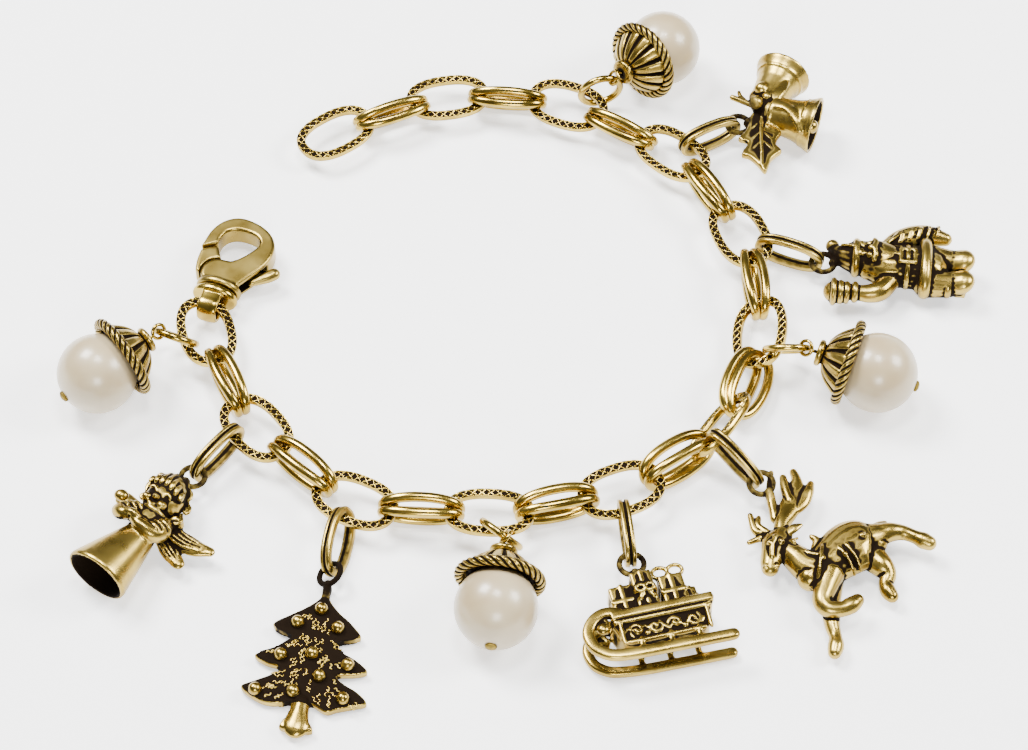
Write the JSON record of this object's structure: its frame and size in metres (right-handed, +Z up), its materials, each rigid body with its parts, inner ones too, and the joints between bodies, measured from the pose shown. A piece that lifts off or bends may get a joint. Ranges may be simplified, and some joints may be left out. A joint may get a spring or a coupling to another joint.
{
  "type": "charm bracelet",
  "caption": "Open gold-tone charm bracelet of oval links with pearl drops, cast holiday figures and a swivel lever clasp.",
  "frame": {"origin": "middle of the footprint, on the surface the bracelet lies on", "axes": "+Z up; +Y away from the picture's viewer; +X to the viewer's right"},
  "size_m": [0.114, 0.1078, 0.0109],
  "materials": {
    "link_gold": "antique gold plate, polished on the high places, brown in the recesses",
    "cast_gold": "cast relief with dark brown patina in the recesses and rubbed gold high places",
    "pearl": "pearlescent cream"
  },
  "bodies": {
    "bracelet": {"textured_link_01": "link_gold", "double_link_01": "link_gold", "textured_link_02": "link_gold", "double_link_02": "link_gold", "textured_link_03": "link_gold", "double_link_03": "link_gold", "textured_link_04": "link_gold", "double_link_04": "link_gold", "textured_link_05": "link_gold", "double_link_05": "link_gold", "textured_link_06": "link_gold", "double_link_06": "link_gold", "textured_link_07": "link_gold", "double_link_07": "link_gold", "textured_link_08": "link_gold", "double_link_08": "link_gold", "textured_link_09": "link_gold", "double_link_09": "link_gold", "textured_link_10": "link_gold", "double_link_10": "link_gold", "textured_link_11": "link_gold", "double_link_11": "link_gold", "textured_link_12": "link_gold", "angel_bail": "link_gold", "angel_charm": "cast_gold", "tree_bail": "link_gold", "tree_charm": "cast_gold", "sleigh_bail": "link_gold", "sleigh_charm": "cast_gold", "reindeer_bail": "link_gold", "reindeer_charm": "cast_gold", "santa_bail": "link_gold", "santa_charm": "cast_gold", "bells_bail": "link_gold", "bells_charm": "cast_gold", "jump_ring_01": "link_gold", "pearl_01": "pearl", "pearl_cap_01": "cast_gold", "head_pin_01": "link_gold", "jump_ring_02": "link_gold", "pearl_02": "pearl", "pearl_cap_02": "cast_gold", "head_pin_02": "link_gold", "jump_ring_03": "link_gold", "pearl_03": "pearl", "pearl_cap_03": "cast_gold", "head_pin_03": "link_gold", "jump_ring_04": "link_gold", "pearl_04": "pearl", "pearl_cap_04": "cast_gold", "head_pin_04": "link_gold", "clasp_swivel_bail": "link_gold"},
    "clasp": {"clasp_body": "link_gold"},
    "lever": {"clasp_lever": "link_gold"}
  },
  "joints": [
    {"name": "clasp_swivel", "type": "hinge", "parent": "bracelet", "child": "clasp", "pos_m": [-0.039, 0.00761, 0.00234], "axis": [0.309, 0.9511, 0], "continuous": true},
    {"name": "clasp_lever", "type": "hinge", "parent": "clasp", "child": "lever", "pos_m": [-0.03837, 0.01198, 0.00234], "axis": [0, 0, 1], "range_deg": [-24, 0], "stiffness_Nm_per_rad": 0.01, "springref_deg": 2.86}
  ]
}
